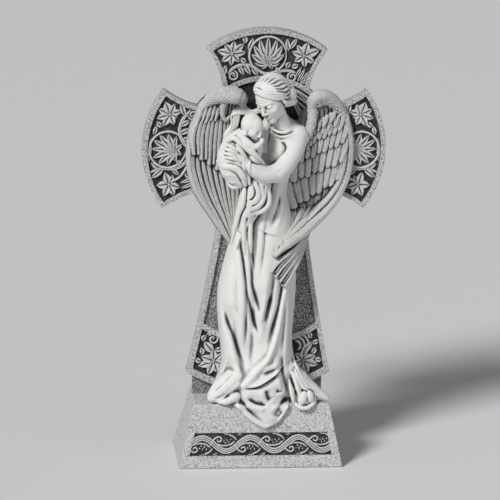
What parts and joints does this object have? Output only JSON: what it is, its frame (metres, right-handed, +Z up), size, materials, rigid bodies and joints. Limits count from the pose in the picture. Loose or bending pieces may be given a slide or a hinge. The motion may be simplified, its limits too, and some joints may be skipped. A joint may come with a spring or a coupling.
{
  "type": "angel garden statue",
  "caption": "Standing angel in a long gown cradling an infant before a flared ring-headed cross with carved leafwork, on a tapered plinth with a scroll band.",
  "frame": {"origin": "centre of the plinth's flat underside", "axes": "+Z up along the statue's height, -Y out of its front towards the viewer, +X to the viewer's right"},
  "size_m": [0.259, 0.1118, 0.47],
  "materials": {
    "cast_stone": "matt stone-filled resin, pale grey with a dark grey wash in the recesses"
  },
  "bodies": {
    "root": {"angel_statue": "cast_stone"}
  },
  "joints": []
}
